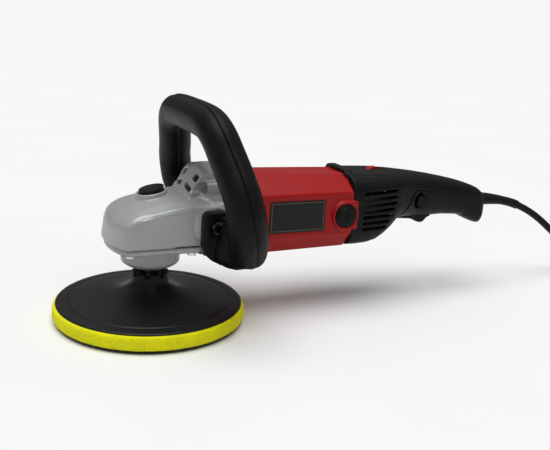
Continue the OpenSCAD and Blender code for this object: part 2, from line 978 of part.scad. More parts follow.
module brush_springs() {
    turns = 6;
    color([0.7, 0.7, 0.7])
        for (s = [-1, 1], k = [0 : turns - 1])
            translate([brush_x, s * (27.6 + k * 1.9), motor_z - 1.5])
                rotate([90, 0, 0])
                    rotate_extrude($fn = 40)
                        translate([2.8, 0])
                            circle(r = 0.5, $fn = 13);
}

module brush_caps() {
    color([0.05, 0.05, 0.05])
        for (s = [-1, 1])
            difference() {
                union() {
                    rod_y(cap_r, min(s * 38.4, s * 42.6), max(s * 38.4, s * 42.6), brush_x,
                        motor_z - 1.5);
                    rod_y(8.6, min(s * 42, s * 43.8), max(s * 42, s * 43.8), brush_x,
                        motor_z - 1.5);
                }
                block([brush_x - 1, min(s * 42.6, s * 46), motor_z - 6.5], [brush_x + 1,
                    max(s * 42.6, s * 46), motor_z + 3.5]);
            }
}

module nameplates() {
    color([0.12, 0.13, 0.12])
        for (s = [-1, 1])
            block([104, min(s * (motor_w - 0.4), s * (motor_w + 0.4)), 85.4],
                [162.4, max(s * (motor_w - 0.4), s * (motor_w + 0.4)), 116]);
}

// ---------- loop handle ----------

function mirror_half(side) = concat(
    [for (p = side) [-p[0], p[1], p[2]]], [arch_top],
    [for (i = [len(side) - 1 : -1 : 0]) side[i]]);

// Rounded feet continue the path past its two ends
function arch_line() = smooth([for (p = mirror_half(arch_side))
    arch_foot + [-tan(lean) * p[1] - p[2], p[0], p[1]]], arch_steps);

arch = arch_line();
front_dir = [-cos(lean), 0, -sin(lean)];
foot_steps = [0.22, 0.55, 0.83, 0.97];

function arch_r(i) = grip_r - grip_taper * (1 - abs(2 * i / (len(arch) - 1) - 1));

// Distance from a foot's centre to the ring of relative radius f on its blunt end
function foot_reach(f) = grip_r * pow(1 - pow(f, 2.5), 0.4);

// Rings of one half tube, from angle a to a + 180 about the path, ends rounded
module half_grip(a) {
    n = len(arch) - 1;
    start = -heading(arch, 0);
    finish = heading(arch, n);
    k = len(foot_steps);
    line = concat(
        [for (f = foot_steps) arch[0] + start * foot_reach(f)],
        arch,
        [for (j = [k - 1 : -1 : 0]) arch[n] + finish * foot_reach(foot_steps[j])]);
    radii = concat(foot_steps * grip_r, [for (i = [0 : n]) arch_r(i)],
        [for (j = [k - 1 : -1 : 0]) foot_steps[j] * grip_r]);
    skin([for (i = [0 : len(line) - 1])
        let (t = i < k ? -start : i > n + k ? finish : heading(arch, i - k),
            u = front_dir, v = unit(cross(t, u)), r = radii[i], c = r - min(4, 0.5 * r))
        concat(
            [for (b = [-90 : 15 : 90]) let (rr = abs(b) == 90 ? r - 0.5 : r)
                line[i] + rr * (cos(b + a) * u + sin(b + a) * v)],
            [for (b = [90 : -30 : -90]) line[i] + c * (cos(b + a) * u + sin(b + a) * v)])]);
}

// Lug that carries the handle on the gearbox side
module lug(s) {
    difference() {
        for (p = lug_forms)
            translate([0, s > 0 ? p[1] : -p[0], 0])
                rotate([90, 0, 0])
                    linear_extrude(p[1] - p[0])
                        polygon(p[2]);
        rod_y(4.2, min(s * 40, s * 60), max(s * 40, s * 60), bolt_x, bolt_z);
        rod_y(7.6, min(s * 50.5, s * 60), max(s * 50.5, s * 60), bolt_x, bolt_z);
    }
}

// Slices of the lug: near |y|, far |y|, side profile
lug_forms = [
    [lug_y, lug_y + lug_t, [[33.4, 82], [34, 109.6], [36.6, 113.4], [60, 113.4], [66, 108],
        [68, 92], [68, 76], [64, 65], [57, 63], [49, 64.8], [41, 69.4], [36, 74.4]]],
    [lug_y + lug_t, 69, [[42.4, 74], [47, 104], [51, 109.6], [60, 110.4], [66, 106], [68, 90],
        [68, 74], [64, 64.4], [58, 63], [51, 64.6], [46, 68]]],
    [69, 80, [[48.4, 73], [53, 100], [58, 106], [65, 100], [68, 84], [67, 71], [62, 65.6],
        [56, 65], [51.4, 67.4]]]];

module loop_handle_front() {
    color([0.06, 0.06, 0.06])
        union() {
            half_grip(0);
            for (s = [-1, 1])
                intersection() {
                    lug(s);
                    front_space();
                }
        }
}

// Everything in front of the handle's parting plane
module front_space() {
    translate(arch_foot)
        rotate([0, -lean, 0])
            block([-60, -150, -60], [-2, 150, 160]);
}

module loop_handle_rear() {
    color([0.06, 0.06, 0.06])
        half_grip(180);
}

module loop_handle_bolts() {
    color([0.3, 0.3, 0.32])
        for (s = [-1, 1])
            difference() {
                union() {
                    rod_y(4, min(s * 35, s * 50.5), max(s * 35, s * 50.5), bolt_x, bolt_z);
                    rod_y(6.4, min(s * 50.5, s * 55.6), max(s * 50.5, s * 55.6), bolt_x, bolt_z);
                }
                translate([bolt_x, s > 0 ? 52 : -60, bolt_z])
                    rotate([-90, 0, 0])
                        cylinder(r = 3.5, h = 8, $fn = 6);
            }
}

grip_screws = [6, 18, 48, 60];

module loop_handle_screws() {
    color([0.35, 0.35, 0.36])
        for (i = grip_screws)
            let (p = arch[i], r = arch_r(i))
            translate(p)
                rotate([0, 90 - lean, 0])
                    translate([0, 0, r - 4])
                        difference() {
                            cylinder(r = 2.6, h = 3.4, $fn = 32);
                            translate([0, 0, 2.2])
                                cylinder(r = 1.3, h = 2, $fn = 6);
                        }
}

// ---------- rear handle ----------

function lobe(a, n) = sign(a) * pow(abs(a), 2 / n);

// Half section ring at one station, from bottom centre round the side to top centre
function rear_ring(f, x, d, s, over) =
    let (top = f[1] - d, bottom = f[2] + d, w = f[3] - d, n = f[4],
        zc = (top + bottom) / 2, h = (top - bottom) / 2)
    concat([for (a = [-90 : 12 : 90]) [x, s * w * lobe(cos(a), n), zc + h * lobe(sin(a), n)]],
        [[x, -s * over, top], [x, -s * over, bottom]]);

// Solid half of the rear handle, drawn inside by d; over carries it past the middle
module rear_half(s, d, over, from, to) {
    count = len(rear_form) - 1;
    rings = [for (i = [from : count - to])
        rear_ring(rear_form[i], rear_form[i][0] + (i == 0 ? -d : i == count ? d : 0), d, s, over)];
    skin(s > 0 ? rings : [for (r = rings) [for (j = [len(r) - 1 : -1 : 0]) r[j]]]);
}

// Vent slots through the curved side wall, lowest first
vent_lengths = [29.5, 32.5, 36.5, 39, 41, 41.5, 41.5];
vent_pitch = 6;

module rear_vents(s) {
    for (k = [0 : len(vent_lengths) - 1])
        translate([206, s * 35, 83 + vent_pitch * k])
            rotate([0, -1.5, 0])
                block([0, -11, -1.3], [vent_lengths[k], 11, 1.3]);
}

module rear_shell(s) {
    y_low = min(0, s * 60);
    y_high = max(0, s * 60);
    difference() {
        union() {
            difference() {
                rear_half(s, 0, 0, 0, 0);
                intersection() {
                    rear_half(s, shell_t, 1, 0, 2);
                    block([joint_x + rim_t, -60, 50], [380, 60, 150]);
                }
                // front rim closes on the motor housing's end
                rod_x(bore_r, joint_x - 1, joint_x + rim_t + 1);
            }
            // raised lip over the motor housing
            intersection() {
                difference() {
                    translate([191, 0, 0])
                        lip_form(9, motor_w + 1.6, 38.8);
                    motor_form();
                    translate([186, 0, 0])
                        lip_form(20, 34, 33);
                }
                block([190, min(0, s * 22), 126], [201, max(0, s * 22), 150]);
            }
            // screw bosses and the trigger's pin boss
            intersection() {
                union() {
                    for (p = shell_screws)
                        rod_y(4.6, min(0, s * 40), max(0, s * 40), p[0], p[1]);
                    rod_y(4, min(s * 9.8, s * 30), max(s * 9.8, s * 30), lever_x, lever_z);
                    block([362, min(0, s * 16), 79], [368, max(0, s * 16), 109]);
                    block([350, min(s * 6.4, s * 20), 88], [358, max(s * 6.4, s * 20), 102.7]);
                }
                rear_half(s, 1, 0, 0, 0);
                block([190, y_low, 50], [378, y_high, 150]);
            }
        }
        rear_vents(s);
        for (p = shell_screws)
            rod_y(1.6, -9, 40, p[0], p[1]);
        if (s > 0)
            for (p = shell_screws)
                rod_y(3.4, 14, 40, p[0], p[1]);
        // thumbwheel slot
        block([dial_x - 10.8, -dial_w / 2 - 0.5, dial_z - 12], [dial_x + 10.8, dial_w / 2 + 0.5, 150]);
        // trigger opening
        block([259.4, -9.6, 70], [309, 9.6, 101.2]);
        rod_y(2, -12, 12, lever_x, lever_z);
        if (s < 0) {
            rod_y(lock_r + 0.1, -40, -4, lock_x, lock_z);
            rod_y(9, -40, -20.6, lock_x, lock_z);
            rod_y(lock_r + 1.8, -18.6, -4, lock_x, lock_z);
        }
        translate([354, s * 9, 90])
            cylinder(r = 1.6, h = 20, $fn = 24);
        // cord guard's neck
        rod_x(8, 361, 390, 98.6);
    }
}

shell_screws = [[222, 72], [262, 123], [328, 113], [340, 92.5]];

module lip_form(l, w, h) {
    translate([0, 0, motor_z + 0.4])
        rotate([90, 0, 90])
            linear_extrude(l)
                polygon(octagon(w, h, h));
}

module rear_handle_left() {
    color([0.07, 0.07, 0.07])
        rear_shell(-1);
}

module rear_handle_right() {
    color([0.07, 0.07, 0.07])
        rear_shell(1);
}

module rear_handle_screws() {
    color([0.3, 0.3, 0.3])
        for (p = shell_screws)
            union() {
                rod_y(1.55, -8, 14, p[0], p[1]);
                rod_y(3.2, 14, 16.4, p[0], p[1]);
            }
}

// ---------- controls ----------

module trigger() {
    wide = 9;
    inner = 6.4;
    color([0.04, 0.04, 0.04])
        difference() {
            translate([0, wide, 0])
                rotate([90, 0, 0])
                    linear_extrude(2 * wide)
                        polygon([[260, 88.3], [262, 85.7], [267, 83.9], [277, 83.1], [285, 82.3],
                            [289.8, 79.1], [293.4, 77.8], [297.4, 78], [300.2, 79.9], [302.4, 82.7],
                            [307.4, 84.7], [307.4, 94], [299, 95.4], [271, 95.4], [267, 97],
                            [261.4, 97], [260, 94]]);
            rod_y(2 + gap, -20, 20, lever_x, lever_z);
            // hollow with a rib under the switch plunger
            block([271, -inner, 86.5], [289.5, inner, 99]);
            block([294.5, -inner, 86.5], [304, inner, 99]);
            block([289, -inner, 94.6], [295, inner, 99]);
        }
}

module trigger_pin() {
    color([0.6, 0.6, 0.62])
        rod_y(2, -11.8, 11.8, lever_x, lever_z);
}

module lock_button() {
    color([0.05, 0.05, 0.05])
        union() {
            rod_y(lock_r, -23.6, -14.8, lock_x, lock_z);
            rod_y(lock_r + 1.4, -18.2, -16.6, lock_x, lock_z);
        }
}

module speed_dial() {
    teeth = 24;
    color([0.7, 0.12, 0.12])
        difference() {
            rod_y(dial_r, -dial_w / 2, dial_w / 2, dial_x, dial_z);
            rod_y(2.05, -10, 10, dial_x, dial_z);
            for (k = [0 : teeth - 1])
                translate([dial_x, 0, dial_z])
                    rotate([0, 360 * k / teeth, 0])
                        block([-0.5, -10, dial_r - 0.6], [0.5, 10, dial_r + 2]);
        }
}

module speed_controller() {
    color([0.1, 0.12, 0.3])
        union() {
            block([214, -19, 96], [260, 19, 98]);
            block([218, -16, 98], [256, 16, 110]);
            for (s = [-1, 1])
                block([dial_x - 4, min(s * 4.6, s * 7), 110], [dial_x + 4,
                    max(s * 4.6, s * 7), dial_z + 3]);
            rod_y(2, -5, 5, dial_x, dial_z);
        }
}

module switch_body() {
    color([0.08, 0.08, 0.09])
        union() {
            block([277, -10.6, 101.6], [313, 10.6, 120.4]);
            switch_plunger();
        }
}

module switch_plunger() {
    translate([292, 0, 98.6])
        cylinder(r = 3, h = 4, $fn = 32);
}

module switch_leads() {
    color([0.2, 0.3, 0.7])
        for (s = [-1, 1])
            rod_x(1.2, 313, 345, 105, s * 4);
}

module cord_clamp() {
    color([0.1, 0.1, 0.1])
        difference() {
            block([350, -12, 102.7], [358, 12, 106]);
            for (s = [-1, 1])
                translate([354, s * 9, 100])
                    cylinder(r = 1.6, h = 10, $fn = 24);
        }
}

module cord_clamp_screws() {
    color([0.7, 0.7, 0.72])
        for (s = [-1, 1])
            translate([354, s * 9, 0])
                union() {
                    translate([0, 0, 94])
                        cylinder(r = 1.55, h = 12, $fn = 24);
                    translate([0, 0, 106])
                        cylinder(r = 3, h = 1.8, $fn = 24);
                }
}

// ---------- lead ----------

lead = smooth(cord_run, 2);
tail = smooth(cord_tail, 2);
guard_end = 2 * guard_rings;

// The guard and the lead share the ring where they meet
module lead_part(a, b, radii) {
    skin([for (i = [a : b])
        let (t = heading(lead, i), u = unit(cross([0, 1, 0], t)), v = cross(t, u))
        [for (j = [0 : 11]) lead[i] + radii[i - a] * (cos(30 * j) * u + sin(30 * j) * v)]]);
}

module cord_guard() {
    color([0.05, 0.05, 0.05])
        union() {
            lead_part(0, guard_end, [for (i = [0 : guard_end]) 7.9 - 2.9 * min(1, i / 6)]);
            rod_x(7.95, 368, 378, 98.6);
            rod_x(10.4, 358.6, 361.9, 98.6);
            rod_x(7.9, 361.9, 369, 98.6);
            rod_x(cord_d / 2, 345, 359, 98.6);
        }
}

module power_cord() {
    color([0.04, 0.04, 0.04])
        union() {
            lead_part(guard_end, len(lead) - 1, [for (p = lead) cord_d / 2]);
            tube(tail, [for (p = tail) cord_d / 2], [0, 0, 1], 12);
        }
}

module cord_coil() {
    r1 = coil_r - coil_cols * cord_d / 2;
    r2 = coil_r + coil_cols * cord_d / 2;
    high = coil_rows * cord_d;
    c = 2.4;
    color([0.04, 0.04, 0.04])
        translate([coil_c[0], coil_c[1], 0.1])
            rotate_extrude($fn = 96)
                polygon([[r1 + c, 0], [r2 - c, 0], [r2, c], [r2, high - c], [r2 - c, high],
                    [r1 + c, high], [r1, high - c], [r1, c]]);
}

module coil_tie() {
    r1 = coil_r - coil_cols * cord_d / 2;
    r2 = coil_r + coil_cols * cord_d / 2;
    high = coil_rows * cord_d;
    color([0.05, 0.05, 0.05])
        translate([coil_c[0], coil_c[1], 0])
            rotate([0, 0, -30])
                difference() {
                    block([r1 - 1.6, -5, 0.02], [r2 + 1.6, 5, high + 1.7]);
                    block([r1 - 0.1, -6, 0.1], [r2 + 0.1, 6, high + 0.1]);
                }
}

module plug_body() {
    color([0.05, 0.05, 0.05])
        translate(plug_at)
            mirror([1, 0, 0])
                union() {
                    rotate([0, 90, 0])
                        cylinder(r1 = 5, r2 = 8, h = 26);
                    hull() {
                        translate([26, -8, -8])
                            cube([1, 16, 16]);
                        translate([38, -17, -12.6])
                            cube([1, 34, 25.2]);
                        translate([58, -17, -12.6])
                            cube([4, 34, 25.2]);
                    }
                }
}

module plug_pins() {
    color([0.8, 0.72, 0.45])
        for (s = [-1, 1])
            translate([plug_at[0] - 62, plug_at[1] + s * pin_gap / 2, plug_at[2]])
                rotate([0, -90, 0])
                    cylinder(r = pin_r, h = pin_l, $fn = 32);
}
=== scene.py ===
"""Looks of the rotary polisher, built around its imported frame. Metres, in the row frame."""

import json
import math

import bmesh
import bpy
import numpy as np
import openvdb
from mathutils import Matrix, Vector


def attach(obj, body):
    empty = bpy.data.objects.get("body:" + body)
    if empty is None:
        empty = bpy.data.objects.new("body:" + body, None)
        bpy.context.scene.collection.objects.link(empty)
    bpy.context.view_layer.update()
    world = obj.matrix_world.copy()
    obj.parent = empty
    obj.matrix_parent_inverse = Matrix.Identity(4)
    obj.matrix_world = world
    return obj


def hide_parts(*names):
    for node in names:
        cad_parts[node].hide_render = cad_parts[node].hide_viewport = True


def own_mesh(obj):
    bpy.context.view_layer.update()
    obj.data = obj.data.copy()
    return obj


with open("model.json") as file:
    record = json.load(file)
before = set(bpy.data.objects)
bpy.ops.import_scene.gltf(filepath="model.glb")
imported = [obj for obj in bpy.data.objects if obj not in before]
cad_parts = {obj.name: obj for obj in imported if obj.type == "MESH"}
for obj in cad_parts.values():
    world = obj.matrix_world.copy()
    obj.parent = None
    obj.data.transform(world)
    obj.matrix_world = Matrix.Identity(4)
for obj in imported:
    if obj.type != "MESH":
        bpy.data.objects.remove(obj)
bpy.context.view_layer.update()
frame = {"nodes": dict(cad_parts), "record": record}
NODES = frame["nodes"]
BODY_OF = {n: b for b, names in frame["record"]["behaviour"]["bodies"].items() for n in names}
SLOT_OF = {s["node"]: s["material_slot"] for s in frame["record"]["subparts"]}
MM = 0.001
rng = np.random.default_rng(7)


# ---------- camera ----------

CAMERA_RIGHT = (0.9120, -0.4065, 0.0540)
CAMERA_UP = (0.0592, 0.2608, 0.9636)
CAMERA_BACK = (-0.4058, -0.8756, 0.2619)
CAMERA_PLACE = (-0.1876, -0.6793, 0.2859)
SENSOR_WIDTH, FOCAL_LENGTH = 36, 50.84


def make_camera():
    cam = bpy.data.objects.new("camera", bpy.data.cameras.new("camera"))
    bpy.context.scene.collection.objects.link(cam)
    rows = list(zip(CAMERA_RIGHT, CAMERA_UP, CAMERA_BACK, CAMERA_PLACE))
    cam.matrix_world = Matrix(rows + [(0, 0, 0, 1)])
    cam.data.sensor_width = SENSOR_WIDTH
    cam.data.lens = FOCAL_LENGTH
    cam.data.clip_start, cam.data.clip_end = 0.01, 60
    bpy.context.scene.camera = cam


make_camera()


# ---------- materials ----------

EVEN = (1, 1, 1)


class Nodes:
    """Builds one material's node tree. Textures are placed by the object's own metres."""

    def __init__(self, name):
        self.mat = bpy.data.materials.new(name)
        self.mat.use_nodes = True
        self.tree = self.mat.node_tree
        self.shader = self.tree.nodes["Principled BSDF"]
        self.place = self.tree.nodes.new("ShaderNodeTexCoord").outputs["Object"]

    def link(self, out, socket):
        self.tree.links.new(out, socket)

    def make(self, kind, inputs=None, **settings):
        node = self.tree.nodes.new(kind)
        for key, value in settings.items():
            setattr(node, key, value)
        for key, value in (inputs or {}).items():
            if isinstance(value, bpy.types.NodeSocket):
                self.link(value, node.inputs[key])
            else:
                node.inputs[key].default_value = value
        return node

    def noise(self, scale, detail=2.0, rough=0.5, stretch=EVEN, distortion=0.0):
        vector = self.place
        if stretch != EVEN:
            vector = self.make("ShaderNodeMapping", {"Vector": vector, "Scale": stretch}).outputs[0]
        inputs = {"Vector": vector, "Scale": scale, "Detail": detail, "Roughness": rough,
                  "Distortion": distortion}
        return self.make("ShaderNodeTexNoise", inputs).outputs[0]

    def cells(self, scale):
        return self.make("ShaderNodeTexVoronoi", {"Vector": self.place, "Scale": scale}).outputs[0]

    def wave(self, scale, direction="X", distortion=0.0):
        return self.make("ShaderNodeTexWave", {"Vector": self.place, "Scale": scale,
                                               "Distortion": distortion},
                         bands_direction=direction).outputs["Fac"]

    def span(self, value, low, high, to_low=0.0, to_high=1.0):
        return self.make("ShaderNodeMapRange", {"Value": value, "From Min": low, "From Max": high,
                                                "To Min": to_low, "To Max": to_high}).outputs[0]

    def calc(self, operation, a, b):
        return self.make("ShaderNodeMath", {0: a, 1: b}, operation=operation).outputs[0]

    def mix(self, factor, a, b):
        """Colour mix; sockets 6 and 7 are the node's two colours."""
        return self.make("ShaderNodeMix", {0: factor, 6: a, 7: b}, data_type="RGBA").outputs[2]

    def bump(self, height, distance):
        node = self.make("ShaderNodeBump",
                         {"Height": height, "Distance": distance, "Strength": 1.0})
        return node.outputs[0]

    def worn_edge(self, low, high):
        """Share of wear on sharp convex edges, broken up by noise."""
        sharp = self.make("ShaderNodeNewGeometry").outputs["Pointiness"]
        patchy = self.span(self.noise(220, 3), 0.42, 0.62)
        return self.calc("MULTIPLY", self.span(sharp, low, high), patchy)


def rgb(r, g, b):
    """sRGB 0-255 to linear, with alpha."""
    return tuple((c / 255 / 12.92) if c < 10.3 else ((c / 255 + 0.055) / 1.055) ** 2.4
                 for c in (r, g, b)) + (1.0,)


def scaled(colour, factor):
    return tuple(c * factor for c in colour[:3]) + (1.0,)


def surface(name, colour, rough, metallic=0.0, specular=0.5, vary=0.12, spread=38, grain=1500,
            grain_height=0.00004, rough_vary=0.06, smudge=0.05, wear=None, wear_colour=None):
    """Common ground of the moulded, cast and metal finishes: mottled colour, smudged gloss,
    fine grain and wear on the edges. spread and grain are noise scales, grain_height is in
    metres, and wear is the range of edge sharpness over which it shows."""
    n = Nodes(name)
    broad = n.noise(spread, 4, 0.6)
    fine = n.noise(grain, 2, 0.6)
    tone = n.mix(n.span(broad, 0.3, 0.7), scaled(colour, 1 - vary), scaled(colour, 1 + vary))
    tone = n.mix(n.span(fine, 0.35, 0.75, 0.0, 0.5), tone, scaled(colour, 1 + 2 * vary))
    gloss = n.span(n.noise(spread * 0.4, 5, 0.65, distortion=0.6), 0.3, 0.7, rough - smudge,
                   rough + smudge)
    gloss = n.calc("ADD", gloss, n.span(fine, 0.3, 0.7, -rough_vary, rough_vary))
    if wear:
        share = n.worn_edge(*wear)
        tone = n.mix(share, tone, wear_colour)
        gloss = n.calc("ADD", gloss, n.span(share, 0, 1, 0.0, 0.12))
    n.link(tone, n.shader.inputs["Base Color"])
    n.link(gloss, n.shader.inputs["Roughness"])
    n.link(n.bump(fine, grain_height), n.shader.inputs["Normal"])
    n.shader.inputs["Metallic"].default_value = metallic
    n.shader.inputs["Specular IOR Level"].default_value = specular
    return n.mat


def foam_finish():
    n = Nodes("foam")
    pores = n.cells(1500)
    soft = n.noise(60, 4)
    streak = n.noise(300, 2, stretch=(1, 1, 0.15))
    tone = n.mix(n.span(soft, 0.3, 0.7), rgb(222, 220, 2), rgb(240, 236, 6))
    tone = n.mix(n.span(pores, 0.0, 0.35, 0.55, 0.0), tone, rgb(168, 166, 14))
    tone = n.mix(n.span(streak, 0.55, 0.75, 0.0, 0.25), tone, rgb(188, 186, 20))
    n.link(tone, n.shader.inputs["Base Color"])
    n.link(n.span(soft, 0.3, 0.7, 0.72, 0.86), n.shader.inputs["Roughness"])
    n.link(n.bump(pores, 0.00035), n.shader.inputs["Normal"])
    n.shader.inputs["Specular IOR Level"].default_value = 0.25
    return n.mat


def hook_finish():
    n = Nodes("hook")
    loops = n.cells(1100)
    weave = n.calc("MULTIPLY", n.wave(260, "X", 1.5), n.wave(260, "Y", 1.5))
    tone = n.mix(n.span(loops, 0.1, 0.6), rgb(26, 26, 25), rgb(8, 8, 8))
    tone = n.mix(n.span(weave, 0.2, 0.9, 0.0, 0.5), tone, rgb(42, 42, 41))
    n.link(tone, n.shader.inputs["Base Color"])
    n.link(n.span(loops, 0, 1, 0.8, 0.95), n.shader.inputs["Roughness"])
    n.link(n.bump(n.calc("ADD", loops, weave), 0.0004), n.shader.inputs["Normal"])
    n.shader.inputs["Sheen Weight"].default_value = 0.4
    n.shader.inputs["Specular IOR Level"].default_value = 0.2
    return n.mat


def lathe_turned(name, colour, rough, direction="X", scale=900):
    """Ground or turned metal with fine rings."""
    n = Nodes(name)
    lines = n.wave(scale, direction, 2.5)
    stain = n.noise(90, 4)
    tone = n.mix(n.span(stain, 0.3, 0.7), scaled(colour, 0.78), colour)
    tone = n.mix(n.span(lines, 0, 1, 0.0, 0.25), tone, scaled(colour, 1.15))
    n.link(tone, n.shader.inputs["Base Color"])
    n.link(n.calc("ADD", n.span(lines, 0, 1, rough - 0.05, rough + 0.05),
                  n.span(stain, 0.3, 0.7, -0.05, 0.08)), n.shader.inputs["Roughness"])
    n.link(n.bump(lines, 0.00002), n.shader.inputs["Normal"])
    n.shader.inputs["Metallic"].default_value = 1.0
    return n.mat


def wound_wire():
    n = Nodes("copper_wire")
    turns = n.wave(520, "X", 1.2)
    tone = n.mix(turns, rgb(92, 38, 14), rgb(196, 104, 48))
    tone = n.mix(n.span(n.noise(160, 3), 0.35, 0.7, 0.0, 0.6), tone, rgb(120, 52, 20))
    n.link(tone, n.shader.inputs["Base Color"])
    n.link(n.span(turns, 0, 1, 0.3, 0.55), n.shader.inputs["Roughness"])
    n.link(n.bump(turns, 0.0003), n.shader.inputs["Normal"])
    n.shader.inputs["Metallic"].default_value = 0.55
    return n.mat


def laminations():
    n = Nodes("laminations")
    sheets = n.wave(620, "X", 0.1)
    tone = n.mix(sheets, rgb(70, 72, 76), rgb(128, 130, 134))
    tone = n.mix(n.span(n.noise(140, 4), 0.45, 0.75, 0.0, 0.6), tone, rgb(86, 66, 50))
    n.link(tone, n.shader.inputs["Base Color"])
    n.link(n.span(sheets, 0, 1, 0.5, 0.36), n.shader.inputs["Roughness"])
    n.link(n.bump(sheets, 0.0001), n.shader.inputs["Normal"])
    n.shader.inputs["Metallic"].default_value = 0.8
    return n.mat


# finishes by the record's material slots
FINISH = {
    "hook_fabric": hook_finish(),
    "yellow_foam": foam_finish(),
    "pad_rubber": surface("pad_rubber", rgb(18, 18, 18), 0.4, specular=0.22, vary=0.14,
                          spread=24, grain=1300, grain_height=0.00003, smudge=0.07,
                          wear=(0.53, 0.6), wear_colour=rgb(44, 44, 46)),
    "zinc_steel": surface("zinc_steel", rgb(200, 202, 203), 0.24, metallic=1.0, vary=0.1,
                          spread=160, grain=2600, grain_height=0.000015,
                          wear=(0.53, 0.6), wear_colour=rgb(232, 232, 230)),
    "gear_steel": lathe_turned("gear_steel", rgb(150, 150, 154), 0.3, "Z", 700),
    "bearing_steel": lathe_turned("bearing_steel", rgb(198, 199, 204), 0.18, "X", 1200),
    "cast_alloy": surface("cast_alloy", rgb(156, 159, 158), 0.36, metallic=0.2, specular=0.35,
                          vary=0.05, spread=30, grain=2400, grain_height=0.00003, smudge=0.05,
                          rough_vary=0.05, wear=(0.535, 0.62), wear_colour=rgb(186, 188, 188)),
    "spring_steel": lathe_turned("spring_steel", rgb(176, 178, 182), 0.28, "Z", 900),
    "lamination_steel": laminations(),
    "copper_wire": wound_wire(),
    "copper": lathe_turned("copper", rgb(204, 128, 84), 0.24, "X", 800),
    "fan_plastic": surface("fan_plastic", rgb(224, 220, 204), 0.45, vary=0.05, spread=60,
                           grain=900),
    "red_plastic": surface("red_plastic", rgb(150, 13, 15), 0.38, specular=0.2, vary=0.06,
                           spread=26, grain=2100, grain_height=0.00003, smudge=0.05,
                           rough_vary=0.05,
                           wear=(0.54, 0.62), wear_colour=rgb(186, 48, 50)),
    "black_plastic": surface("black_plastic", rgb(13, 13, 13), 0.46, specular=0.14, vary=0.1,
                             spread=30, grain=1800, grain_height=0.00006, smudge=0.05,
                             wear=(0.535, 0.62), wear_colour=rgb(42, 42, 44)),
    "black_grip": surface("black_grip", rgb(12, 12, 12), 0.47, specular=0.13, vary=0.1,
                          spread=22, grain=1500, grain_height=0.00007, smudge=0.06,
                          wear=(0.54, 0.62), wear_colour=rgb(36, 36, 38)),
    "black_steel": surface("black_steel", rgb(26, 26, 28), 0.34, metallic=0.7, vary=0.2,
                           spread=200, grain=2600, grain_height=0.00002,
                           wear=(0.52, 0.58), wear_colour=rgb(120, 120, 122)),
    "brass_holder": surface("brass_holder", rgb(206, 170, 92), 0.3, metallic=1.0, vary=0.15,
                            spread=150, grain=1800),
    "carbon": surface("carbon", rgb(46, 46, 48), 0.55, metallic=0.2, vary=0.25, spread=500,
                      grain=2500, grain_height=0.00008),
    "label_film": surface("label_film", rgb(22, 25, 22), 0.34, specular=0.18, vary=0.12,
                          spread=60, grain=2600, grain_height=0.00001),
    "potting": surface("potting", rgb(22, 24, 30), 0.4, vary=0.2, spread=90, grain=600,
                       grain_height=0.0001),
    "lead_insulation": surface("lead_insulation", rgb(52, 92, 178), 0.35, vary=0.1, spread=100),
    "cord_rubber": surface("cord_rubber", rgb(14, 14, 14), 0.5, specular=0.15, vary=0.16,
                           spread=40, grain=1700, grain_height=0.00006, smudge=0.08),
    "brass_pins": surface("brass_pins", rgb(214, 196, 140), 0.22, metallic=1.0, vary=0.12,
                          spread=220, grain=2400, grain_height=0.00001),
}
BORDER = surface("label_border", rgb(96, 84, 70), 0.35, metallic=0.3, vary=0.1, spread=200)


def wear_material(obj, mat):
    obj.data.materials.clear()
    obj.data.materials.append(mat)


# ---------- cord ----------

def blend(p0, p1, p2, p3, t):
    """Catmull-Rom point between p1 and p2."""
    return 0.5 * (2 * p1 + (p2 - p0) * t + (2 * p0 - 5 * p1 + 4 * p2 - p3) * t * t
                  + (3 * p1 - p0 - 3 * p2 + p3) * t ** 3)


def smooth_line(points, steps):
    """Smooth line through the points, with the given steps between two of them."""
    pts = [np.array(p, float) for p in points]
    last = len(pts) - 1
    line = [blend(pts[max(i - 1, 0)], pts[i], pts[i + 1], pts[min(i + 2, last)], j / steps)
            for i in range(last) for j in range(steps)]
    return np.array(line + [pts[-1]])


def ease(value, low, high):
    """Rises smoothly from 0 at low to 1 at high."""
    t = np.clip((value - low) / (high - low), 0, 1)
    return t * t * (3 - 2 * t)


# the lead's route in millimetres, the same points as in the CAD source
CORD_D = 8.0
CORD_RUN = [[372, 0, 98.6], [384, 0, 98], [397, 0, 96.8], [410, 0, 94.8], [422, 0, 92],
            [433, 0, 88.4], [447, 0, 82.4], [463, 0, 73.8], [480, 0, 62.4], [497, 0, 49.6],
            [514, 0, 36], [531, 0, 22.8], [548, 0, 12.4], [565, 0, 6.1], [581, 0, 4.3],
            [596, 0, 4.1]]
CORD_TAIL = [[596, -112, 12.1], [588, -112, 12.2], [578, -112.2, 12.4], [568, -112.6, 12.6],
             [558, -113.4, 12.7], [548, -114.3, 12.7]]
COIL_C = np.array([596.0, -56.0])
COIL_R, COIL_TURNS = 56.0, 5.5
COIL_STEP = 6.0                     # degrees between the coil's points
COIL_Z = 4.1                        # height of the lower layer's middle
INWARD = ((300, 360), (660, 720))   # degrees over which a turn moves in by one diameter
OUTWARD = ((1270, 1330), (1630, 1690))
CLIMB = (970, 1060)                 # degrees over which the lead climbs to the upper layer
RUN_STEPS, TAIL_STEPS = 6, 5
GUARD_POINTS = 5                    # the run's first points lie inside the cord guard


def coil_line():
    """Two layers of three turns side by side: outside to inside, then back out on top."""
    at = np.arange(0, COIL_TURNS * 360 + 1, COIL_STEP)
    r = (COIL_R - CORD_D * sum(ease(at, *part) for part in INWARD)
         + CORD_D * sum(ease(at, *part) for part in OUTWARD))
    z = COIL_Z + CORD_D * ease(at, *CLIMB)
    turn = np.radians(90 - at)
    return np.stack([COIL_C[0] + r * np.cos(turn), COIL_C[1] + r * np.sin(turn), z], 1)


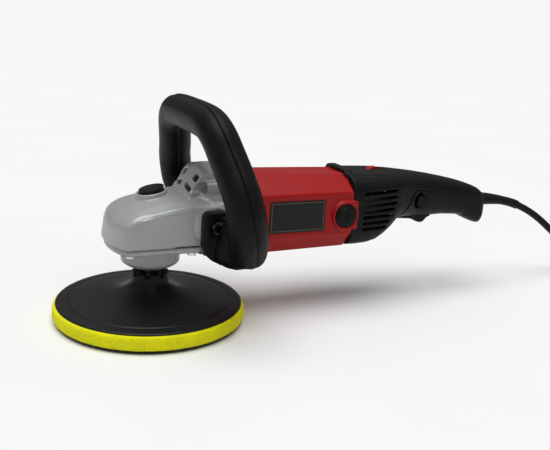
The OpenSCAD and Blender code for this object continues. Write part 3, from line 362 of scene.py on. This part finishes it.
def make_cord():
    run = smooth_line(CORD_RUN, RUN_STEPS)[GUARD_POINTS * RUN_STEPS:]
    tail = smooth_line(CORD_TAIL, TAIL_STEPS)
    line = np.concatenate([run[:-1], coil_line(), tail[1:]]) * MM
    curve = bpy.data.curves.new("lead", "CURVE")
    curve.dimensions = "3D"
    spline = curve.splines.new("POLY")
    spline.points.add(len(line) - 1)
    spline.points.foreach_set("co", np.concatenate([line, np.ones((len(line), 1))], 1).ravel())
    spline.use_smooth = True
    curve.bevel_depth = CORD_D / 2 * MM
    curve.bevel_resolution = 5
    curve.use_fill_caps = True
    obj = bpy.data.objects.new("lead", curve)
    bpy.context.scene.collection.objects.link(obj)
    curve.materials.append(FINISH["cord_rubber"])
    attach(obj, "housing")
    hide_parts("power_cord", "cord_coil")


make_cord()


# ---------- pieces from mesh code ----------

def add_mesh(name, points, faces, body, slot, replaces=(), mat=None, smooth=True):
    """A finished piece from points in metres and faces."""
    mesh = bpy.data.meshes.new(name)
    mesh.from_pydata([tuple(p) for p in points], [], [tuple(int(i) for i in f) for f in faces])
    mesh.validate()
    mesh.polygons.foreach_set("use_smooth", [smooth] * len(mesh.polygons))
    obj = bpy.data.objects.new(name, mesh)
    bpy.context.scene.collection.objects.link(obj)
    wear_material(obj, mat or FINISH[slot])
    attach(obj, body)
    if replaces:
        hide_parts(*replaces)
    return obj


def rounded_profile(points, radius, steps=4):
    """Profile with its inner corners rounded by a short curve; end points stay."""
    pts = [np.array(p, float) for p in points]
    out = [pts[0]]
    for before, here, after in zip(pts, pts[1:], pts[2:]):
        a, b = before - here, after - here
        la, lb = np.linalg.norm(a), np.linalg.norm(b)
        cut = min(radius, la * 0.45, lb * 0.45)
        start, end = here + a / la * cut, here + b / lb * cut
        for k in range(steps + 1):
            t = k / steps
            out.append((1 - t) ** 2 * start + 2 * t * (1 - t) * here + t * t * end)
    out.append(pts[-1])
    return np.array(out)


def lathe(name, profile, slot, replaces, count, shape):
    """Turns a closed r, z profile in millimetres about the spindle, on whose body the piece
    rides; shape moves the points by their angle."""
    prof = np.array(profile) * MM
    n = len(prof)
    angle = np.arange(count) * 2 * math.pi / count
    r = np.repeat(prof[None, :, 0], count, 0)
    z = np.repeat(prof[None, :, 1], count, 0)
    r, z = shape(angle[:, None], r, z)
    points = np.stack([r * np.cos(angle)[:, None], r * np.sin(angle)[:, None], z], -1)
    faces = []
    for i in range(count):
        k = (i + 1) % count
        for j in range(n - 1):
            faces.append((i * n + j, k * n + j, k * n + j + 1, i * n + j + 1))
    obj = add_mesh(name, points.reshape(-1, 3), faces, "spindle_assembly", slot, replaces)
    weld(obj)
    return obj


WELD = 1e-6


def weld(obj):
    """Joins points that meet, drops empty faces and turns every face outward."""
    bm = bmesh.new()
    bm.from_mesh(obj.data)
    bmesh.ops.remove_doubles(bm, verts=bm.verts, dist=WELD)
    bmesh.ops.dissolve_degenerate(bm, edges=bm.edges, dist=WELD)
    bmesh.ops.recalc_face_normals(bm, faces=bm.faces)
    bm.to_mesh(obj.data)
    bm.free()


class Field:
    """Signed distances in millimetres on a grid round CAD nodes, negative inside, for moulded
    and cast shapes: blur rounds every edge, cut and engrave take material away."""

    BAND = 4.0          # grid steps either side of the surface that hold a distance
    MARGIN = 5          # grid steps of empty room round the nodes
    QUICK_STEP = 1.6
    REACH = 2.2         # a blur's width in sigmas

    def __init__(self, nodes, step):
        self.step = step * 1.0
        points, faces, start = [], [], 0
        for node in nodes:
            mesh = NODES[node].data
            mesh.calc_loop_triangles()
            co = np.zeros(len(mesh.vertices) * 3, np.float32)
            mesh.vertices.foreach_get("co", co)
            tri = np.zeros(len(mesh.loop_triangles) * 3, np.int32)
            mesh.loop_triangles.foreach_get("vertices", tri)
            points.append(co.reshape(-1, 3) / MM)
            faces.append(tri.reshape(-1, 3) + start)
            start += len(mesh.vertices)
        points = np.concatenate(points).astype(np.float32)
        faces = np.concatenate(faces).astype(np.uint32)
        self.grid_space = openvdb.createLinearTransform(voxelSize=self.step)
        level = openvdb.FloatGrid.createLevelSetFromPolygons(
            points, triangles=faces, transform=self.grid_space, halfWidth=self.BAND)
        self.low = np.floor(points.min(0) / self.step).astype(int) - self.MARGIN
        high = np.ceil(points.max(0) / self.step).astype(int) + self.MARGIN
        self.values = np.full(high - self.low + 1, self.BAND * self.step, np.float32)
        level.copyToArray(self.values, ijk=tuple(int(v) for v in self.low))
        axes = [((self.low[i] + np.arange(self.values.shape[i])) * self.step).astype(np.float32)
                for i in range(3)]
        self.x = axes[0][:, None, None]
        self.y = axes[1][None, :, None]
        self.z = axes[2][None, None, :]

    def blur(self, sigma):
        """Rounds edges and corners by about sigma millimetres."""
        s = sigma / self.step
        reach = max(1, int(math.ceil(self.REACH * s)))
        taps = np.exp(-0.5 * (np.arange(-reach, reach + 1) / s) ** 2)
        taps = (taps / taps.sum()).astype(np.float32)
        for axis in range(3):
            size = self.values.shape[axis]
            pad = [(reach, reach) if a == axis else (0, 0) for a in range(3)]
            wide = np.pad(self.values, pad, mode="edge")
            out = np.zeros_like(self.values)
            for k, weight in enumerate(taps):
                cut = [slice(None)] * 3
                cut[axis] = slice(k, k + size)
                out += weight * wide[tuple(cut)]
            self.values = out
        return self

    def cut(self, other):
        """Takes away what lies where other is negative."""
        self.values = -np.minimum(-self.values, other.astype(np.float32))
        return self

    def engrave(self, gap, width, depth):
        """Sinks the surface by depth where gap, a distance, is below about width."""
        self.values = self.values + (depth * np.exp(-(gap / width) ** 2)).astype(np.float32)
        return self

    def melt(self, sigma, share):
        """Blurs more strongly where share is 1, for a blend between two shapes."""
        crisp = self.values
        self.blur(sigma)
        self.values = crisp + share * (self.values - crisp)
        return self

    def copy(self):
        """Second field on the same grid, to be shaped on its own."""
        twin = object.__new__(Field)
        twin.__dict__.update(self.__dict__)
        return twin

    def keep(self, outside):
        """Keeps what lies where outside is negative."""
        self.values = np.maximum(self.values, outside.astype(np.float32))
        return self

    def piece(self, name, slot, replaces, body="housing"):
        """Finished piece from the surface where the distance is nought."""
        grid = openvdb.FloatGrid(self.BAND * self.step)
        grid.transform = self.grid_space
        grid.copyFromArray(np.ascontiguousarray(self.values),
                           ijk=tuple(int(v) for v in self.low))
        points, triangles, quads = grid.convertToPolygons(0.0, 0.0)
        mesh = bpy.data.meshes.new(name)
        faces = quads.astype(np.int32)[:, ::-1]
        mesh.vertices.add(len(points))
        mesh.vertices.foreach_set("co", (points * MM).astype(np.float32).ravel())
        mesh.loops.add(faces.size)
        mesh.loops.foreach_set("vertex_index", faces.ravel())
        mesh.polygons.add(len(faces))
        mesh.polygons.foreach_set("loop_start", np.arange(0, faces.size, 4, dtype=np.int32))
        mesh.update(calc_edges=True)
        mesh.validate()
        mesh.polygons.foreach_set("use_smooth", np.ones(len(mesh.polygons), bool))
        mesh.update()
        obj = bpy.data.objects.new(name, mesh)
        bpy.context.scene.collection.objects.link(obj)
        if enclosed_volume(mesh) < 0:
            mesh.flip_normals()
        wear_material(obj, FINISH[slot])
        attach(obj, body)
        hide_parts(*replaces)


def enclosed_volume(mesh):
    """Volume inside the mesh, negative where its faces point inward."""
    mesh.calc_loop_triangles()
    co = np.zeros(len(mesh.vertices) * 3)
    mesh.vertices.foreach_get("co", co)
    tri = np.zeros(len(mesh.loop_triangles) * 3, np.int32)
    mesh.loop_triangles.foreach_get("vertices", tri)
    a, b, c = (co.reshape(-1, 3)[tri.reshape(-1, 3)[:, k]] for k in range(3))
    return float(np.einsum("ij,ij->i", a, np.cross(b, c)).sum() / 6)


def side_line(f, points):
    """Distance in millimetres from a line drawn in the x, z plane."""
    best = None
    pts = np.array(points, np.float32)
    for a, b in zip(pts, pts[1:]):
        d = b - a
        t = np.clip(((f.x - a[0]) * d[0] + (f.z - a[1]) * d[1]) / float(d @ d), 0, 1)
        gap = np.sqrt((f.x - a[0] - t * d[0]) ** 2 + (f.z - a[1] - t * d[1]) ** 2)
        best = gap if best is None else np.minimum(best, gap)
    return best


HUB_R, HUB_TOP = 14.2 * MM, (43.3, 43.9)    # floor radius and foot of the hub's notches
NOTCHES = 8


def build_pad():
    waves = 9
    noise = rng.normal(size=(3, waves))

    def ragged(angle, r, z):
        """Trimmed edge of the hook layer."""
        edge = sum(noise[0, k] * np.sin((k + 5) * 7 * angle + noise[1, k] * 3)
                   for k in range(waves))
        return r + np.where(r > 80 * MM, 0.10 * MM * edge, 0), z

    hook = [(0, 0), (86.2, 0), (87.2, 0.5), (87.4, 1.4), (87.3, 2.6), (86.6, 3), (0, 3)]
    lathe("pad_hook", rounded_profile(hook, 0.5), "hook_fabric", ["pad_hook_layer"], 360, ragged)

    def sponge(angle, r, z):
        """Slight waviness of the foam's cut side."""
        bump = sum(noise[2, k] * np.sin((k + 4) * 11 * angle + 60 * (k + 1) * z / MM / 9)
                   for k in range(waves))
        return r + np.where(r > 85 * MM, 0.03 * MM * bump, 0), z

    foam = [(0, 3), (87.6, 3), (89.2, 3.8), (89.95, 5.4), (90, 8), (90, 12), (89.5, 14.8),
            (88.2, 16.4), (86, 16.5), (0, 16.5)]
    disc = lathe("pad_foam_disc", rounded_profile(foam, 0.8), "yellow_foam", ["pad_foam"], 360,
                 sponge)

    def castle(angle, r, z):
        """Notches in the hub's crown."""
        pitch = math.radians(360 / NOTCHES)
        turn = (angle - pitch / 2) % pitch
        turn = np.minimum(turn, pitch - turn)
        inside = 1 - ease(turn * 16.0, 1.6, 2.4)
        crown = ease(z / MM, *HUB_TOP)
        return np.where(r > HUB_R, r - (r - HUB_R) * inside * crown, r), z

    plate = [(12.6, 48.6), (13.4, 48.8), (14.6, 48.2), (17.2, 46.2), (17.5, 45.4), (17.5, 44.2),
             (17.5, 43.4), (17.5, 41.5), (17.7, 39.6), (18.1, 37.6), (19.0, 35.6), (20.4, 33.6),
             (22.3, 31.8), (24.8, 30.0), (28, 28.2), (31.8, 26.7), (36.5, 25.3), (42, 24.1),
             (48, 23.1), (55, 22.1), (62, 21.2), (69, 20.4), (75.4, 19.6), (75.9, 18.9),
             (77.1, 18.75), (77.7, 19.3), (82, 18.9), (86, 18.4), (87.1, 17.7), (87.3, 17),
             (86.9, 16.52), (20, 16.52), (19, 22), (12.6, 25), (12.6, 48.6)]
    lathe("backing_plate", rounded_profile(plate, 0.35, 2), "pad_rubber", ["pad_plate"], 320,
          castle)


# a groove's distance is raised by this much where the groove isn't wanted
FAR = 20
# x, z along the nose's upper edge
SHOULDER = [(-46, 98), (-34, 103.5), (-20, 109), (6, 114.6), (28, 117.2), (62, 119)]
# room for the spindle lock: the button's radius and floor, and its pin's place and radius
BUTTON_HOLE, BUTTON_FLOOR = 11.9, 114.5
PIN_X, PIN_HOLE = -9.0, 2.8


def build_castings():
    f = Field(["gear_housing"], 0.8)
    side = np.abs(f.y)
    # the flange flows into the nose
    flow = (ease(side, 25.5, 28) * ease(f.x, 28, 32) * (1 - ease(f.x, 47, 50))
            * (1 - ease(f.z, 121, 125)))
    f.blur(0.6).melt(2.4, flow * ease(f.z, 84, 90))
    # a shallow line runs below the nose's upper edge
    shoulder = np.interp(f.x, *zip(*SHOULDER))
    elsewhere = (1 - ease(side, 36, 39)) + ease(f.x, 30, 36) + (1 - ease(f.x, -26, -18))
    f.engrave(np.abs(f.z - shoulder + 2.6) + FAR * elsewhere, 0.9, 0.45)
    f.cut(np.maximum(np.hypot(f.x, f.y) - BUTTON_HOLE, BUTTON_FLOOR - f.z))
    f.cut(np.hypot(f.x - PIN_X, f.y) + np.maximum(f.z - BUTTON_FLOOR, 0) - PIN_HOLE)
    f.piece("gearbox_casting", "cast_alloy", ["gear_housing"])
    f = Field(["bearing_box"], 0.8)
    f.blur(0.9)
    f.piece("bearing_box_casting", "cast_alloy", ["bearing_box"])


def build_lock_spring():
    """Return spring under the spindle lock. The real one closes up as the button goes down; this
    coil is fixed at one length on the housing.
    """
    centre_x, radius, wire, turns = 2.0, 6.2, 0.5, 3
    low, high, count, sides = 115.05, 119.2, 120, 10
    points, faces = [], []
    for i in range(count + 1):
        a, z = 2 * math.pi * turns * i / count, low + (high - low) * i / count
        for k in range(sides):
            b = 2 * math.pi * k / sides
            r = radius + wire * math.cos(b)
            points.append(((centre_x + r * math.cos(a)) * MM, r * math.sin(a) * MM,
                           (z + wire * math.sin(b)) * MM))
    for i in range(count):
        for k in range(sides):
            m = (k + 1) % sides
            faces.append((i * sides + k, (i + 1) * sides + k, (i + 1) * sides + m, i * sides + m))
    faces += [tuple(range(sides)), tuple(count * sides + k for k in reversed(range(sides)))]
    spring = add_mesh("lock_spring_coil", points, faces, "housing",
                      SLOT_OF["spindle_lock_spring"], ["spindle_lock_spring"])
    weld(spring)
    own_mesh(spring)


# printed border of the name plates: its corners in x, z, its width, and its depth in y
BORDER_LOW, BORDER_HIGH, BORDER_WIDTH = (105.6, 87.0), (160.8, 114.4), 0.5
PLATE_Y, BORDER_SINK, BORDER_RISE = 38.4, 0.05, 0.12


def rectangle(low, high, inset):
    """Corners in x, z, drawn in by inset."""
    (x0, z0), (x1, z1) = low, high
    return [(x0 + inset, z0 + inset), (x1 - inset, z0 + inset), (x1 - inset, z1 - inset),
            (x0 + inset, z1 - inset)]


def build_motor():
    f = Field(["motor_housing"], 0.85)
    f.blur(1.0)
    f.piece("motor_shell", "red_plastic", ["motor_housing"])
    for side, s in (("left", -1), ("right", 1)):
        rim = [(x * MM, s * depth * MM, z * MM)
               for depth in (PLATE_Y - BORDER_SINK, PLATE_Y + BORDER_RISE)
               for inset in (0, BORDER_WIDTH)
               for x, z in rectangle(BORDER_LOW, BORDER_HIGH, inset)]
        faces = []
        for k in range(4):
            m = (k + 1) % 4
            faces += [(8 + k, 8 + m, 12 + m, 12 + k), (k, 8 + k, 8 + m, m),
                      (4 + k, 4 + m, 12 + m, 12 + k), (k, m, 4 + m, 4 + k)]
        weld(add_mesh("label_border_" + side, rim, faces, "housing", "label_film", mat=BORDER,
                      smooth=False))


# the loop handle's parting face: its lean, its foot in x, z, and its bow by height above that
LEAN = math.radians(14.3)
FOOT = (65.7, 84.8)
BOW = [(0, 0), (14, 1), (27, 1.9), (39, 1.5), (54, 0.8), (69, 0), (110, 0)]


def build_loop():
    """Both half shells come from one blended form, split along the handle's parting face."""
    f = Field(["loop_handle_front", "loop_handle_rear"], 0.85)
    side = np.abs(f.y)
    f.blur(0.8)
    # the clamp's arm flows into the grip
    f.melt(3.4, ease(side, 57, 61) * (1 - ease(side, 86, 95)) * (1 - ease(f.z, 108, 118)))
    f.blur(0.5)
    height = f.z - FOOT[1]
    split = (-(f.x - FOOT[0]) * math.cos(LEAN) - height * math.sin(LEAN)
             - np.interp(height, *zip(*BOW)) * math.cos(LEAN))
    f.engrave(split, 0.5, 0.14)
    # a fine line goes round the foot of each leg
    f.engrave(f.z - 85.6 + 0.06 * (f.x - 62) + FAR * (1 - ease(side, 72, 76)), 0.5, 0.3)
    f.copy().keep(0.02 - split).piece("loop_shell_front", "black_grip", ["loop_handle_front"])
    f.copy().keep(split).piece("loop_shell_rear", "black_grip", ["loop_handle_rear"])


# x, z of the groove where the grip begins, and of the lock-on button
GRIP_LINE = [(254, 90.4), (258, 93.4), (263, 97.4), (266.6, 101.4), (269, 106), (271.4, 111),
             (274.6, 114.9), (279, 116.8), (286, 116.6), (296, 114.6)]
LOCK_AT = (284.5, 104.5)


def build_rear():
    for name, s in (("left", -1), ("right", 1)):
        f = Field(["rear_handle_" + name], 0.7)
        f.blur(0.65)
        f.engrave(side_line(f, GRIP_LINE), 0.9, 1.0)
        if s < 0:    # only the left shell has the lock-on button, in a shallow dish
            around = np.hypot(f.x - LOCK_AT[0], f.z - LOCK_AT[1])
            f.engrave(np.maximum(around - 9.6, 0), 1.2, 0.35)
        # a flat band stands slightly proud along the top
        band = ((1 - ease(np.abs(f.y), 22.6, 24)) * (1 - ease(f.x, 233, 245))
                * ease(f.z, 120, 126))
        f.values = f.values - (0.5 * band).astype(np.float32)
        f.piece("rear_shell_" + name, "black_plastic", ["rear_handle_" + name])


def dress_cad():
    """Procedural finish on every CAD node that stays in sight or inside."""
    for node, obj in NODES.items():
        wear_material(obj, FINISH["black_steel" if node == "spindle" else SLOT_OF[node]])


def build_controls():
    """Moulded controls with their edges rounded over; a finer grid than the housings'."""
    for node, sigma in (("trigger", 0.5), ("lock_button", 0.35), ("brush_caps", 0.4)):
        f = Field([node], 0.42)
        f.blur(sigma)
        f.piece(node + "_moulding", SLOT_OF[node], [node], body=BODY_OF[node])


# ---------- stage ----------

FLOOR_SIZE, FLOOR_Z = 30, -0.0002
FLOOR_TONES = (0.79, 0.79, 0.79, 1), (0.81, 0.81, 0.81, 1)


def build_stage():
    corners = [(x * FLOOR_SIZE, y * FLOOR_SIZE, FLOOR_Z)
               for x, y in ((-1, -1), (1, -1), (1, 1), (-1, 1))]
    mesh = bpy.data.meshes.new("floor")
    mesh.from_pydata(corners, [], [(0, 1, 2, 3)])
    floor = bpy.data.objects.new("floor", mesh)
    bpy.context.scene.collection.objects.link(floor)
    n = Nodes("floor")
    n.link(n.mix(n.span(n.noise(3, 2), 0.3, 0.7), *FLOOR_TONES), n.shader.inputs["Base Color"])
    n.shader.inputs["Roughness"].default_value = 0.9
    n.shader.inputs["Specular IOR Level"].default_value = 0.1
    mesh.materials.append(n.mat)


def add_sun(name, direction, strength, angle):
    """Wide sun shining along direction; angle in degrees sets how soft its shadows are."""
    data = bpy.data.lights.new(name, "SUN")
    data.energy = strength
    data.angle = math.radians(angle)
    obj = bpy.data.objects.new(name, data)
    bpy.context.scene.collection.objects.link(obj)
    obj.rotation_mode = "QUATERNION"
    obj.rotation_quaternion = Vector(direction).to_track_quat("-Z", "Y")


WHITE, BACKDROP = (1, 1, 1, 1), (0.93, 0.93, 0.93, 1)
HORIZON, OVERHEAD = 0.06, 0.66      # strength of the ambient light
KEY_WAY, KEY_STRENGTH, KEY_ANGLE = (0.10, 0.10, -1.0), 2.3, 50


def build_light():
    world = bpy.data.worlds.new("studio")
    bpy.context.scene.world = world
    world.use_nodes = True
    tree = world.node_tree
    lit, seen = tree.nodes["Background"], tree.nodes.new("ShaderNodeBackground")
    lit.inputs["Color"].default_value = WHITE
    seen.inputs["Color"].default_value = BACKDROP
    # brighter overhead than at the horizon, as under a wide ceiling light
    way, split = tree.nodes.new("ShaderNodeTexCoord"), tree.nodes.new("ShaderNodeSeparateXYZ")
    rise = tree.nodes.new("ShaderNodeMapRange")
    rise.inputs["To Min"].default_value = HORIZON
    rise.inputs["To Max"].default_value = OVERHEAD
    tree.links.new(way.outputs["Generated"], split.inputs[0])
    tree.links.new(split.outputs["Z"], rise.inputs["Value"])
    tree.links.new(rise.outputs[0], lit.inputs["Strength"])
    seen.inputs["Strength"].default_value = 1.0
    mixer, rays = tree.nodes.new("ShaderNodeMixShader"), tree.nodes.new("ShaderNodeLightPath")
    tree.links.new(rays.outputs["Is Camera Ray"], mixer.inputs[0])
    tree.links.new(lit.outputs[0], mixer.inputs[1])
    tree.links.new(seen.outputs[0], mixer.inputs[2])
    tree.links.new(mixer.outputs[0], tree.nodes["World Output"].inputs["Surface"])
    add_sun("key", KEY_WAY, KEY_STRENGTH, KEY_ANGLE)
    bpy.context.scene.view_settings.view_transform = "Standard"


dress_cad()
build_pad()
build_castings()
build_lock_spring()
build_motor()
build_loop()
build_rear()
build_controls()
build_stage()
build_light()
